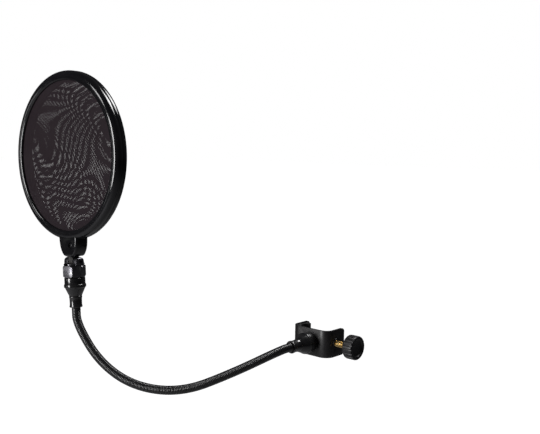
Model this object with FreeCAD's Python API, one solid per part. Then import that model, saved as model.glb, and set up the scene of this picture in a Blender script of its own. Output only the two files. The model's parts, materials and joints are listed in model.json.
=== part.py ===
import FreeCAD, Part
import math
import os

from FreeCAD import Placement, Rotation, Vector

# A clamp-on pop screen: a double nylon screen in a two-part hoop, on a gooseneck
# that stands on the web of a C-bracket. The origin lies on the axis of the stand
# tube that the bracket grips, at mid-height of the bracket. +Z runs up the tube,
# +X along the clamp screw to its knob, and the gooseneck leaves towards -Y.
# All sizes are in millimetres.

# ---- clamp -------------------------------------------------------------------
tube_radius = 7.94            # 5/8 inch stand tube
strap_thickness = 2.5
strap_height = 26.0
jaw_outer_x = -11.5           # outer face of the fixed jaw
leg_outer_x = 33.5            # outer face of the leg that carries the screw
web_outer_y = -13.5
web_centre_x = 12.25          # where the gooseneck's fitting stands on the web
leg_end_y = 13.0
bend_radius = 9.5             # outside of the strap's two bends
strap_corner_radius = 3.5
pad_half_height = 12.0
pad_half_width = 8.2
pad_lip_x = -3.9
screw_radius = 3.0            # M6
screw_fit = 0.05
screw_tip_radius = 2.2
screw_tip_length = 4.0
screw_end_x = 55.0
bush_radius = 4.6
bush_flange_radius = 5.6
bush_flange = 2.2
bush_flare = 1.0
bush_flare_spread = 0.9
foot_radius = 7.5
foot_face_x = 8.0             # the foot rests on the tube at x = tube_radius
foot_pad_thickness = 1.2
foot_plate_thickness = 2.2
foot_boss_radius = 5.0
foot_boss_length = 4.0
knob_radius = 11.4
knob_start_x = 48.5
knob_thickness = 10.5
knob_flutes = 18
knob_flute_radius = 1.1
knob_boss_radius = 6.0
knob_boss_length = 3.0
knob_dish_radius = 8.0
knob_dish_depth = 1.4

# ---- turned fittings at both ends of the gooseneck ------------------------------
ring_radius = 10.2
ring_width = 3.3
body_radius = 9.6
cone_length = 8.1
cone_end_radius = 5.6
sleeve_radius = 5.7
sleeve_flare_radius = 6.05
sleeve_length = 10.6
sleeve_bore = 4.25
base_length = 6.9             # plain length between the web and the ring
web_screw_radius = 2.5        # M5
web_screw_head_radius = 4.4
web_screw_head = 2.4
web_washer_radius = 4.9
web_washer = 0.6

# ---- gooseneck -------------------------------------------------------------------
hose_radius = 4.15
hose_inset = 9.0              # how far the hose runs into the sleeve and fitting
ball_radius = 4.05
cup_radius = 4.45
arc_share = 0.38              # part of a run that the arc beside it takes
end_arc_share = 0.9

# ---- head: hoop, lug, fork and nut, drawn upright about the hoop's centre -----------
head_centre = Vector(-154.5, -171.0, 174.2)
head_lean = -4.0              # degrees about the hoop's own axis
head_turn = 1.5               # degrees about the vertical
hoop_radius = 78.5
hoop_opening = 69.7
hoop_depth = 14.0
wall_bore = 76.35
screen_gap = 8.4              # clear distance between the two screens
screen_thickness = 0.3
screen_radius = 76.1
spacer_bore = 70.4
spacer_radius = 76.25
spacer_flange = 1.6
lug_half_depth = 6.5
lug_end = 94.0                # distances below the hoop's centre
blade_half_width = 8.0
blade_half_thickness = 1.5
blade_top = 80.5
neck_half_width = 3.0
neck_half_depth = 5.0
lug_screw_x = 4.0
lug_screw_drop = 83.5
lug_screw_radius = 1.45
lug_screw_head_radius = 2.4
pin_drop = 99.0
pin_radius = 1.5
eye_radius = 3.7
slot_half_width = 3.3
ear_radius = 4.4
barrel_radius = 10.3
barrel_top = 94.4
barrel_round = 3.0
flange_top = 100.6
flange_bottom = 102.0
fork_boss_radius = 6.0
fork_boss_end = 104.5
stem_radius = 4.0
stem_end = 115.5
clip_top = 112.7
clip_thickness = 1.0
clip_radius = 5.9
nut_top = 102.3
nut_bottom = 113.5
nut_flats = 19.0
nut_lip = 2.3
spigot_radius = 7.0
spigot_top = 104.9
body_top = 113.8
body_bottom = 120.0
adapter_thread_radius = 6.9
adapter_thread_top = 116.4
running_fit = 0.1


def wire_of(start, *steps):
    """A closed wire: a step is a point for a line, or (through, end) for an arc."""
    edges = []
    here = start
    for step in steps:
        if isinstance(step, tuple):
            through, end = step
            edges.append(Part.Arc(here, through, end).toShape())
            here = end
        else:
            edges.append(Part.LineSegment(here, step).toShape())
            here = step
    edges.append(Part.LineSegment(here, start).toShape())
    return Part.Wire(edges)


def revolved(wire, axis):
    return Part.Face(wire).revolve(Vector(0, 0, 0), axis, 360)


def rod(radius, start, end):
    run = end - start
    return Part.makeCylinder(radius, run.Length, start, run)


def tube(radius, bore, start, end):
    return rod(radius, start, end).cut(rod(bore, start, end))


def block(low, high):
    size = high - low
    return Part.makeBox(size.x, size.y, size.z, low)


def x_rod(radius, start, end, y=0.0, z=0.0):
    return rod(radius, Vector(start, y, z), Vector(end, y, z))


def y_rod(radius, start, end, x=0.0, z=0.0):
    return rod(radius, Vector(x, start, z), Vector(x, end, z))


def z_rod(radius, start, end):
    return rod(radius, Vector(0, 0, start), Vector(0, 0, end))


def save(name, shape):
    shape.exportStep("parts/" + name + ".step")


os.makedirs("parts", exist_ok=True)
head_place = Placement(head_centre, Rotation(Vector(0, 0, 1), head_turn).multiply(
    Rotation(Vector(0, 1, 0), head_lean)))


def save_head(name, shape):
    """Head pieces are drawn about the hoop's centre and then leaned into place."""
    placed = shape.copy()
    placed.Placement = head_place.multiply(placed.Placement)
    save(name, placed)


# ---- clamp bracket: one strap bent twice, open towards +Y ---------------------------
def strap_profile():
    inner_radius = bend_radius - strap_thickness
    left = jaw_outer_x + bend_radius
    right = leg_outer_x - bend_radius
    bend_y = web_outer_y + bend_radius
    jaw_inner_x = jaw_outer_x + strap_thickness
    leg_inner_x = leg_outer_x - strap_thickness
    web_inner_y = web_outer_y + strap_thickness
    outer = bend_radius * math.sqrt(0.5)
    inner = inner_radius * math.sqrt(0.5)
    return wire_of(
        Vector(jaw_outer_x, leg_end_y, 0),
        Vector(jaw_outer_x, bend_y, 0),
        (Vector(left - outer, bend_y - outer, 0), Vector(left, web_outer_y, 0)),
        Vector(right, web_outer_y, 0),
        (Vector(right + outer, bend_y - outer, 0), Vector(leg_outer_x, bend_y, 0)),
        Vector(leg_outer_x, leg_end_y, 0),
        Vector(leg_inner_x, leg_end_y, 0),
        Vector(leg_inner_x, bend_y, 0),
        (Vector(right + inner, bend_y - inner, 0), Vector(right, web_inner_y, 0)),
        Vector(left, web_inner_y, 0),
        (Vector(left - inner, bend_y - inner, 0), Vector(jaw_inner_x, bend_y, 0)),
        Vector(jaw_inner_x, leg_end_y, 0))


strap = Part.Face(strap_profile()).extrude(Vector(0, 0, strap_height))
strap.translate(Vector(0, 0, -strap_height / 2))
end_corners = [edge for edge in strap.Edges
               if all(abs(v.Y - leg_end_y) < 0.01 for v in edge.Vertexes)
               and abs(edge.Vertexes[0].X - edge.Vertexes[-1].X) > 1]
strap = strap.makeFillet(strap_corner_radius, end_corners)
strap = strap.cut(x_rod(bush_radius, leg_outer_x - 5, leg_outer_x + 1))
strap = strap.cut(y_rod(web_screw_radius + 0.2, web_outer_y - 1, web_outer_y + 5, web_centre_x))
save("clamp_bracket", strap)

# ---- jaw pad: a saddle with the tube's own radius -----------------------------------
jaw_inner_x = jaw_outer_x + strap_thickness
pad = block(Vector(jaw_inner_x, -pad_half_width, -pad_half_height),
            Vector(pad_lip_x, pad_half_width, pad_half_height))
lip_edges = [edge for edge in pad.Edges
             if all(abs(v.X - pad_lip_x) < 0.01 for v in edge.Vertexes) and edge.Length > 20]
pad = pad.makeChamfer(1.0, lip_edges)
pad = pad.cut(z_rod(tube_radius, -pad_half_height - 1, pad_half_height + 1))
pad = pad.cut(strap)
save("jaw_pad", pad)

# ---- threaded bush, riveted into the leg ----------------------------------------------
leg_inner_x = leg_outer_x - strap_thickness
bush = x_rod(bush_radius, leg_inner_x, leg_outer_x + bush_flare)
bush = bush.fuse(x_rod(bush_flange_radius, leg_inner_x - bush_flange, leg_inner_x))
bush = bush.fuse(Part.makeCone(bush_radius, bush_radius + bush_flare_spread, bush_flare,
                               Vector(leg_outer_x, 0, 0), Vector(1, 0, 0)))
bush = bush.cut(x_rod(screw_radius + screw_fit, leg_inner_x - 5, leg_outer_x + 5))
bush = bush.cut(strap).removeSplitter()
save("screw_bush", bush)

# ---- pressure foot, its pad, the screw and the knob --------------------------------------
plate_x = foot_face_x + foot_pad_thickness
boss_x = plate_x + foot_plate_thickness
boss_end_x = boss_x + foot_boss_length
save("foot_pad", x_rod(foot_radius, foot_face_x, plate_x))

foot = x_rod(foot_radius, plate_x, boss_x)
foot = foot.fuse(Part.makeCone(foot_boss_radius + 1, foot_boss_radius, foot_boss_length,
                               Vector(boss_x, 0, 0), Vector(1, 0, 0)))
foot = foot.cut(x_rod(screw_tip_radius + running_fit, boss_x - 0.4, boss_end_x + 1))
save("pressure_foot", foot)

screw_start_x = boss_x + screw_tip_length + 0.6
screw = x_rod(screw_radius, screw_start_x, screw_end_x)
screw = screw.fuse(x_rod(screw_tip_radius, boss_x, screw_start_x)).removeSplitter()
save("clamp_screw", screw)

knob_end_x = knob_start_x + knob_thickness
knob = x_rod(knob_radius, knob_start_x, knob_end_x)
rim = [edge for edge in knob.Edges if edge.Length > 10 and len(edge.Vertexes) == 1]
knob = knob.makeFillet(1.2, rim)
for index in range(knob_flutes):
    angle = 2 * math.pi * index / knob_flutes
    flute = x_rod(knob_flute_radius, knob_start_x - 1, knob_end_x + 1,
                  (knob_radius + 0.3) * math.cos(angle), (knob_radius + 0.3) * math.sin(angle))
    knob = knob.cut(flute)
knob = knob.fuse(x_rod(knob_boss_radius, knob_start_x - knob_boss_length, knob_start_x))
knob = knob.cut(x_rod(knob_dish_radius, knob_end_x - knob_dish_depth, knob_end_x + 1))
knob = knob.cut(x_rod(screw_radius + 0.01, knob_start_x - 4, screw_end_x)).removeSplitter()
save("knob", knob)


# ---- turned fitting with a ring and a cone, drawn with its sleeve end at -Z ------------------
def adapter(ring_top, bore_top):
    """A ring and, below it, a cone that runs down to the sleeve."""
    ring_bottom = ring_top - ring_width
    cone_bottom = ring_bottom - cone_length
    bulge = ring_width / 2
    outline = wire_of(
        Vector(0, 0, ring_top),
        Vector(body_radius, 0, ring_top),
        (Vector(ring_radius, 0, ring_top - bulge), Vector(body_radius, 0, ring_bottom)),
        Vector(cone_end_radius, 0, cone_bottom),
        Vector(0, 0, cone_bottom))
    turned = revolved(outline, Vector(0, 0, 1))
    return turned.cut(z_rod(sleeve_bore, cone_bottom - 1, bore_top))


def crimp_sleeve(top):
    """A short tube, flared slightly where the hose leaves it."""
    bottom = top - sleeve_length
    outline = wire_of(
        Vector(sleeve_bore, 0, top),
        Vector(sleeve_radius - 0.3, 0, top),
        Vector(sleeve_radius, 0, top - 0.6),
        Vector(sleeve_radius, 0, bottom + 2.2),
        Vector(sleeve_flare_radius, 0, bottom + 0.8),
        Vector(sleeve_flare_radius - 0.4, 0, bottom),
        Vector(sleeve_bore, 0, bottom))
    return revolved(outline, Vector(0, 0, 1))


# ---- clamp end of the arm: fitting and sleeve square on the web, held by a screw ----------------
web_place = Placement(Vector(web_centre_x, web_outer_y, 0), Rotation(Vector(1, 0, 0), -90))
ring_drop = base_length
cone_drop = ring_drop + ring_width + cone_length
base = adapter(-ring_drop, -cone_drop + hose_inset - 1)
base = base.fuse(z_rod(body_radius, -ring_drop, 0)).removeSplitter()
base = base.cut(z_rod(web_screw_radius + 0.01, -ring_drop - 1.5, 1))
base.Placement = web_place
save("base_fitting", base)

base_sleeve = crimp_sleeve(-cone_drop)
base_sleeve.Placement = web_place
save("base_sleeve", base_sleeve)

web_inner_y = web_outer_y + strap_thickness
washer = y_rod(web_washer_radius, web_inner_y, web_inner_y + web_washer, web_centre_x)
washer = washer.cut(y_rod(web_screw_radius + 0.15, web_inner_y - 1, web_inner_y + 2, web_centre_x))
save("web_washer", washer)

head_y = web_inner_y + web_washer
web_screw = y_rod(web_screw_head_radius, head_y, head_y + web_screw_head, web_centre_x)
dome_rim = [edge for edge in web_screw.Edges
            if len(edge.Vertexes) == 1 and abs(edge.Vertexes[0].Y - head_y - web_screw_head) < 0.01]
web_screw = web_screw.makeFillet(1.0, dome_rim)
web_screw = web_screw.fuse(y_rod(web_screw_radius, web_outer_y - ring_drop, head_y, web_centre_x))
recess_y = head_y + web_screw_head - 1.2
for low, high in ((Vector(-2.2, 0, -0.45), Vector(2.2, 2, 0.45)),
                  (Vector(-0.45, 0, -2.2), Vector(0.45, 2, 2.2))):
    recess = block(low, high)
    recess.translate(Vector(web_centre_x, recess_y, 0))
    web_screw = web_screw.cut(recess)
save("web_screw", web_screw.removeSplitter())

# ---- gooseneck: straight runs and tangent arcs, in segments that hinge on ball ends ----------------
base_sleeve_end = Vector(web_centre_x, web_outer_y - cone_drop - sleeve_length, 0)
adapter_drop = body_bottom + ring_width + cone_length
head_sleeve_drop = adapter_drop + sleeve_length
route = [
    base_sleeve_end,
    base_sleeve_end + Vector(0, -13.0, 0),
    Vector(-9.0, -98.0, -17.5),
    Vector(-40.0, -130.5, -35.0),
    Vector(-81.5, -151.5, -34.5),
    Vector(-120.0, -162.5, -17.0),
    head_place.multVec(Vector(0, 0, -head_sleeve_drop - 16.0)),
    head_place.multVec(Vector(0, 0, -head_sleeve_drop))]
base_hose_end = base_sleeve_end + Vector(0, sleeve_length + hose_inset - 1.5, 0)
head_hose_end = head_place.multVec(Vector(0, 0, -head_sleeve_drop + sleeve_length + hose_inset - 1.5))
corners = len(route) - 2
pivots = [(route[i] + route[i + 1]) * 0.5 for i in range(1, corners)]


def corner_edges(index):
    """Tangent points and the arc that rounds route[index]."""
    before = route[index - 1] - route[index]
    after = route[index + 1] - route[index]
    share_before = end_arc_share if index == 1 else arc_share
    share_after = end_arc_share if index == corners else arc_share
    reach = min(before.Length * share_before, after.Length * share_after)
    u = Vector(before).normalize()
    v = Vector(after).normalize()
    half_turn = (math.pi - u.getAngle(v)) / 2
    radius = reach / math.tan(half_turn)
    inward = (u + v).normalize()
    centre = route[index] + inward * (radius / math.cos(half_turn))
    start = route[index] + u * reach
    end = route[index] + v * reach
    middle = centre - inward * radius
    return start, end, Part.Arc(start, middle, end).toShape(), radius


hose_length = 0.0
for index in range(1, corners + 1):
    arc_start, arc_end, arc, radius = corner_edges(index)
    start = base_hose_end if index == 1 else pivots[index - 2]
    end = head_hose_end if index == corners else pivots[index - 1]
    path = Part.Wire([Part.LineSegment(start, arc_start).toShape(), arc,
                      Part.LineSegment(arc_end, end).toShape()])
    section = Part.Wire(Part.makeCircle(hose_radius, start, arc_start - start))
    segment = path.makePipeShell([section], True, False)
    if index > 1:
        segment = segment.cut(Part.makeSphere(cup_radius, start))
    if index < corners:
        segment = segment.fuse(Part.makeSphere(ball_radius, end))
    hose_length += path.Length
    print("gooseneck_%d: arc radius %.0f, length %.1f, volume %.0f of %.0f" % (
        index, radius, path.Length, segment.Volume, path.Length * math.pi * hose_radius ** 2))
    save("gooseneck_%d" % index, segment)
print("hose length with its ends: %.1f" % hose_length)
for index, pivot in enumerate(pivots):
    run = Vector(route[index + 2] - route[index + 1]).normalize()
    print("flex %d at %.3f %.3f %.3f along %.5f %.5f %.5f" % (
        index + 1, pivot.x, pivot.y, pivot.z, run.x, run.y, run.z))


# ---- hoop: two rings with a rounded bead, around a spacer and two screens ---------------------
half_gap = screen_gap / 2
screen_face = half_gap + screen_thickness
half_depth = hoop_depth / 2


def hoop_half():
    """The front half: a beaded ring and half of the lug, hollow for the tongue."""
    def at(radius, depth):
        return Vector(radius, -depth, 0)
    outline = wire_of(
        at(hoop_opening, screen_face),
        at(hoop_opening, screen_face + 1.0),
        (at(hoop_opening + 0.95, half_depth - 0.6), at(hoop_opening + 3.2, half_depth)),
        at(hoop_opening + 4.2, half_depth),
        (at(hoop_radius - 1.35, half_depth - 1.55), at(hoop_radius, half_depth - 4.6)),
        at(hoop_radius, 0.35),
        at(hoop_radius - 0.35, 0.0),
        at(wall_bore, 0.0),
        at(wall_bore, screen_face))
    ring = revolved(outline, Vector(0, 1, 0))
    lug_wire = wire_of(
        Vector(-14.4, 0, -72.0),
        Vector(-13.8, 0, -79.0),
        (Vector(-12.7, 0, -85.5), Vector(-10.4, 0, -90.2)),
        (Vector(-7.9, 0, -93.1), Vector(-4.6, 0, -lug_end)),
        Vector(4.6, 0, -lug_end),
        (Vector(7.9, 0, -93.1), Vector(10.4, 0, -90.2)),
        (Vector(12.7, 0, -85.5), Vector(13.8, 0, -79.0)),
        Vector(14.4, 0, -72.0))
    lug = Part.Face(lug_wire).extrude(Vector(0, -lug_half_depth, 0))
    lug = lug.cut(y_rod(wall_bore + 0.4, -hoop_depth, hoop_depth))
    half = ring.fuse(lug)
    half = half.cut(block(Vector(-blade_half_width, -blade_half_thickness, -lug_end + 2.2),
                          Vector(blade_half_width, blade_half_thickness, -blade_top)))
    return half.cut(block(Vector(-neck_half_width, -neck_half_depth, -lug_end - 1),
                          Vector(neck_half_width, neck_half_depth, -lug_end + 4)))


screw_z = -lug_screw_drop
recess_floor = -lug_half_depth + 2.2
rear = hoop_half().mirror(Vector(0, 0, 0), Vector(0, 1, 0))
front = hoop_half()
front = front.cut(y_rod(lug_screw_head_radius + 0.2, -lug_half_depth - 1, recess_floor,
                        lug_screw_x, screw_z))
front = front.cut(y_rod(lug_screw_radius + 0.1, recess_floor, 1, lug_screw_x, screw_z))
save_head("front_ring", front.removeSplitter())

rear = rear.cut(y_rod(lug_screw_radius + 0.02, -1, lug_half_depth - 1.2, lug_screw_x, screw_z))
save_head("rear_ring", rear.removeSplitter())

spacer = revolved(wire_of(
    Vector(spacer_bore, -half_gap, 0),
    Vector(spacer_radius, -half_gap, 0),
    Vector(spacer_radius, -half_gap + spacer_flange, 0),
    Vector(spacer_bore + spacer_flange, -half_gap + spacer_flange, 0),
    Vector(spacer_bore + spacer_flange, half_gap - spacer_flange, 0),
    Vector(spacer_radius, half_gap - spacer_flange, 0),
    Vector(spacer_radius, half_gap, 0),
    Vector(spacer_bore, half_gap, 0)), Vector(0, 1, 0))
save_head("spacer_ring", spacer)
save_head("front_screen", y_rod(screen_radius, -screen_face, -half_gap))
save_head("rear_screen", y_rod(screen_radius, half_gap, screen_face))

# ---- tongue: a blade held in the lug, and an eye for the pivot pin ---------------------------------
tongue = block(Vector(-blade_half_width, -blade_half_thickness, -lug_end + 2.2),
               Vector(blade_half_width, blade_half_thickness, -blade_top))
tongue = tongue.fuse(block(Vector(-neck_half_width, -neck_half_depth, -lug_end - 0.4),
                           Vector(neck_half_width, neck_half_depth, -lug_end + 4)))
tongue = tongue.fuse(block(Vector(-neck_half_width, -eye_radius, -pin_drop),
                           Vector(neck_half_width, eye_radius, -lug_end)))
tongue = tongue.fuse(x_rod(eye_radius, -neck_half_width, neck_half_width, 0, -pin_drop))
tongue = tongue.cut(y_rod(lug_screw_radius + 0.1, -5, 5, lug_screw_x, screw_z))
tongue = tongue.cut(x_rod(pin_radius + 0.05, -5, 5, 0, -pin_drop))
save_head("hoop_tongue", tongue.removeSplitter())

lug_screw = y_rod(lug_screw_head_radius, recess_floor - 1.5, recess_floor, lug_screw_x, screw_z)
lug_screw = lug_screw.fuse(y_rod(lug_screw_radius, recess_floor, lug_half_depth - 1.6,
                                 lug_screw_x, screw_z))
for low, high in ((Vector(-1.4, 0, -0.3), Vector(1.4, 0.9, 0.3)),
                  (Vector(-0.3, 0, -1.4), Vector(0.3, 0.9, 1.4))):
    recess = block(low, high)
    recess.translate(Vector(lug_screw_x, recess_floor - 1.6, screw_z))
    lug_screw = lug_screw.cut(recess)
save_head("lug_screw", lug_screw.removeSplitter())

# ---- fork: two round-shouldered ears on a flange, with a plain stem that turns in the swivel body ---------------
barrel = z_rod(barrel_radius, -flange_bottom, -barrel_top)
barrel = barrel.makeFillet(barrel_round, [edge for edge in barrel.Edges
                                          if abs(edge.CenterOfMass.z + barrel_top) < 0.01])
ears = x_rod(ear_radius, -11, 11, 0, -pin_drop)
ears = ears.fuse(block(Vector(-11, -ear_radius, -flange_bottom), Vector(11, ear_radius, -pin_drop)))
fork = barrel.common(ears)
fork = fork.fuse(z_rod(body_radius, -flange_bottom, -flange_top))
fork = fork.fuse(z_rod(fork_boss_radius, -fork_boss_end, -flange_bottom))
fork = fork.fuse(z_rod(stem_radius, -stem_end, -fork_boss_end))
fork = fork.cut(block(Vector(-slot_half_width, -12, -pin_drop - eye_radius - 0.3),
                      Vector(slot_half_width, 12, -90)))
fork = fork.cut(x_rod(pin_radius + 0.01, -12, 12, 0, -pin_drop))
fork = fork.cut(tube(stem_radius + 1, stem_radius - 0.6, Vector(0, 0, -clip_top - clip_thickness),
                     Vector(0, 0, -clip_top)))
save_head("swivel_fork", fork.removeSplitter())

pin_half_length = 9.8
save_head("pivot_pin", x_rod(pin_radius, -pin_half_length, pin_half_length, 0, -pin_drop))

clip = tube(clip_radius, stem_radius - 0.55, Vector(0, 0, -clip_top - clip_thickness + 0.05),
            Vector(0, 0, -clip_top - 0.05))
clip = clip.cut(block(Vector(0, -1.6, -clip_top - 2), Vector(8, 1.6, -clip_top + 1)))
save_head("stem_clip", clip)

# ---- lock nut: a hex nut that squeezes the split spigot on the stem ---------------------------------------
corner_radius = nut_flats / math.sqrt(3)
hex_points = [Vector(corner_radius * math.cos(math.radians(60 * i + 12)),
                     corner_radius * math.sin(math.radians(60 * i + 12)), -nut_bottom)
              for i in range(7)]
nut = Part.Face(Part.makePolygon(hex_points)).extrude(Vector(0, 0, nut_bottom - nut_top))
chamfer_rise = 1.3
nut_envelope = revolved(wire_of(
    Vector(0, 0, -nut_top),
    Vector(nut_flats / 2 - 0.3, 0, -nut_top),
    Vector(corner_radius + 0.1, 0, -nut_top - chamfer_rise),
    Vector(corner_radius + 0.1, 0, -nut_bottom + chamfer_rise),
    Vector(nut_flats / 2 - 0.3, 0, -nut_bottom),
    Vector(0, 0, -nut_bottom)), Vector(0, 0, 1))
nut = nut.common(nut_envelope)
nut = nut.cut(z_rod(spigot_radius + running_fit, -nut_bottom - 1, -nut_top - nut_lip))
nut = nut.cut(z_rod(fork_boss_radius + 0.35, -nut_bottom, -nut_top + 1))
save_head("lock_nut", nut.removeSplitter())

# ---- swivel body: split spigot above, plain body below --------------------------------------------------
stem_bore = stem_radius + running_fit
swivel = z_rod(body_radius, -body_bottom, -body_top)
swivel = swivel.fuse(z_rod(spigot_radius, -body_top, -spigot_top))
swivel = swivel.cut(z_rod(stem_bore, -body_top - 1, -spigot_top + 1))
swivel = swivel.cut(z_rod(adapter_thread_radius + 0.02, -body_bottom - 1, -clip_top + 0.2))
for angle in (0, 90):
    saw_cut = block(Vector(-8, -0.5, -spigot_top - 6), Vector(8, 0.5, -spigot_top + 1))
    saw_cut.rotate(Vector(0, 0, 0), Vector(0, 0, 1), angle)
    swivel = swivel.cut(saw_cut)
save_head("swivel_body", swivel.removeSplitter())

# ---- head fitting and sleeve ----------------------------------------------------------------------------------
head_fitting = adapter(-body_bottom, -adapter_drop + hose_inset - 1)
head_fitting = head_fitting.fuse(z_rod(adapter_thread_radius, -body_bottom, -adapter_thread_top))
save_head("head_fitting", head_fitting.removeSplitter())
save_head("head_sleeve", crimp_sleeve(-adapter_drop))
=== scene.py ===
import json
import math

import bmesh
import bpy
import numpy as np
from mathutils import Matrix, Vector


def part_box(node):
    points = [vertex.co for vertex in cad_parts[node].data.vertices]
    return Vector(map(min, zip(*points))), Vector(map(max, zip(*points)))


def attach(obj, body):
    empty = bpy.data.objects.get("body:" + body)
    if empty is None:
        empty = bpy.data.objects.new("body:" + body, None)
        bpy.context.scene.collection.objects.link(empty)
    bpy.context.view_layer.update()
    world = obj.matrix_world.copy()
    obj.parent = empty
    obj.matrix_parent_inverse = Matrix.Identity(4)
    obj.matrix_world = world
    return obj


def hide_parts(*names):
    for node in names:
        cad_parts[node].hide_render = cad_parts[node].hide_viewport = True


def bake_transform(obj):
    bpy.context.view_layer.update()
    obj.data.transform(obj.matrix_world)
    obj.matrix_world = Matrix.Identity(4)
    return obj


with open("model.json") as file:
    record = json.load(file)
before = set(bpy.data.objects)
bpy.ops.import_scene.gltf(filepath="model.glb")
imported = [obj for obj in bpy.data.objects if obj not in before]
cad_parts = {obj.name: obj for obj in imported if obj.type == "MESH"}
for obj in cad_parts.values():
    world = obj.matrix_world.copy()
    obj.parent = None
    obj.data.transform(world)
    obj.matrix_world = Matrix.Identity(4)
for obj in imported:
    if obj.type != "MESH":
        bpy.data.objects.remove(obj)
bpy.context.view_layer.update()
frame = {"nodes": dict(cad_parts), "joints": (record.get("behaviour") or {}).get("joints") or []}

joints = {joint["name"]: joint for joint in frame["joints"]}

# ---- Stage, light and camera -------------------------------------------------------------
# A plain floor and surround that look white but light the object only faintly. A tall softbox
# and a small key light stand in front, a faint strip on the hoop's side, and a panel above and
# behind. The camera stands in front, on the knob's side, and looks slightly down.
floor_height = -0.62
bpy.ops.object.select_all(action="DESELECT")
bpy.ops.mesh.primitive_plane_add(size=60, location=(0, 0, floor_height))
floor = bpy.context.object
floor.name = "studio_floor"
pale_floor = bpy.data.materials.new("pale_floor")
pale_floor.use_nodes = True
floor_shader = pale_floor.node_tree.nodes["Principled BSDF"]
floor_shader.inputs["Base Color"].default_value = (0.4, 0.4, 0.41, 1)
floor_shader.inputs["Roughness"].default_value = 0.9
floor_shader.inputs["Emission Color"].default_value = (1, 1, 1, 1)
floor_path = pale_floor.node_tree.nodes.new("ShaderNodeLightPath")
pale_floor.node_tree.links.new(floor_path.outputs["Is Camera Ray"],
                               floor_shader.inputs["Emission Strength"])
floor.data.materials.append(pale_floor)

bpy.context.scene.view_settings.view_transform = "Standard"
surround = bpy.data.worlds.new("studio_surround")
bpy.context.scene.world = surround
surround.use_nodes = True
surround_nodes = surround.node_tree.nodes
seen = surround_nodes["Background"]
seen.inputs["Color"].default_value = (1, 1, 1, 1)
seen.inputs["Strength"].default_value = 1.0
lit = surround_nodes.new("ShaderNodeBackground")
lit.inputs["Color"].default_value = (0.93, 0.95, 1, 1)
lit.inputs["Strength"].default_value = 0.045
view_or_light = surround_nodes.new("ShaderNodeMixShader")
light_path = surround_nodes.new("ShaderNodeLightPath")
surround.node_tree.links.new(light_path.outputs["Is Camera Ray"], view_or_light.inputs["Fac"])
surround.node_tree.links.new(lit.outputs["Background"], view_or_light.inputs[1])
surround.node_tree.links.new(seen.outputs["Background"], view_or_light.inputs[2])
surround.node_tree.links.new(view_or_light.outputs["Shader"],
                             surround_nodes["World Output"].inputs["Surface"])


def soft_light(name, place, target, width, height, watts):
    """A rectangular area light at place, turned to face target."""
    panel = bpy.data.lights.new(name, "AREA")
    panel.shape = "RECTANGLE"
    panel.size = width
    panel.size_y = height
    panel.energy = watts
    holder = bpy.data.objects.new(name, panel)
    holder.location = place
    holder.rotation_euler = (Vector(target) - Vector(place)).to_track_quat("-Z", "Y").to_euler()
    bpy.context.scene.collection.objects.link(holder)


soft_light("key_panel", (-0.75, -1.5, 1.0), (-0.08, -0.1, 0.08), 0.45, 0.3, 5)
soft_light("front_softbox", (-0.5, -1.93, 0.25), (-0.1, -0.17, 0.12), 0.4, 1.1, 27)
soft_light("side_strip", (-1.3, -1.5, 0.1), (-0.13, -0.17, 0.08), 0.16, 0.5, 0.8)
soft_light("rim_panel", (0.06, 0.5, 1.15), (-0.12, -0.16, 0.17), 0.5, 0.5, 12)

camera_place = (0.4545, -0.5750, 0.1862)
azimuth, down, roll = (math.radians(angle) for angle in (41.5, 5.3, 1.16))
camera = bpy.data.cameras.new("view_camera")
camera.lens = 50.33
camera.sensor_width = 36
camera_holder = bpy.data.objects.new("view_camera", camera)
camera_holder.matrix_world = (
    Matrix.Translation(camera_place)
    @ Matrix.Rotation(azimuth, 4, "Z")
    @ Matrix.Rotation(math.radians(90) - down, 4, "X")
    @ Matrix.Rotation(roll, 4, "Z"))
bpy.context.scene.collection.objects.link(camera_holder)
bpy.context.scene.camera = camera_holder

# ---- Clamp bracket -----------------------------------------------------------------------
# One steel strap bent twice into a C that opens to the back, its leg ends rounded off,
# drilled for the bush and the web screw, and powder coated satin black.
strap_low, strap_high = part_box("clamp_bracket")
strap_thickness = 0.0025
strap_bend = 0.0095
strap_corner = 0.0035
bend_steps = 14
bush_hole_radius, web_hole_radius = 0.0046, 0.0027
web_x = 0.01225
same_place = 1e-5


def only(piece):
    """Select one piece alone and make it the active one."""
    bpy.ops.object.select_all(action="DESELECT")
    piece.select_set(True)
    bpy.context.view_layer.objects.active = piece


def pick(wanted, kind):
    """In edit mode, select the edges or faces whose middle point wanted() accepts."""
    mesh = bmesh.from_edit_mesh(bpy.context.object.data)
    bpy.ops.mesh.select_all(action="DESELECT")
    for element in getattr(mesh, kind):
        points = [vert.co for vert in element.verts]
        element.select_set(bool(wanted(sum(points, Vector()) / len(points))))
    bmesh.update_edit_mesh(bpy.context.object.data)


def apply_modifiers(piece):
    """Apply a piece's modifiers in their order."""
    only(piece)
    for modifier in list(piece.modifiers):
        bpy.ops.object.modifier_apply(modifier=modifier.name)


def carve(piece, tool, operation="DIFFERENCE"):
    """Cut, join or trim piece with another mesh, and delete that mesh."""
    cut = piece.modifiers.new("carve", "BOOLEAN")
    cut.object = tool
    cut.operation = operation
    cut.solver = "EXACT"
    apply_modifiers(piece)
    bpy.data.objects.remove(tool)


def settle(piece, place=Matrix()):
    """Put a piece in its place and leave that place in its mesh."""
    bpy.context.view_layer.update()
    piece.matrix_world = place @ piece.matrix_world
    only(piece)
    bpy.ops.object.transform_apply(location=True, rotation=True, scale=True)
    return piece


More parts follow.
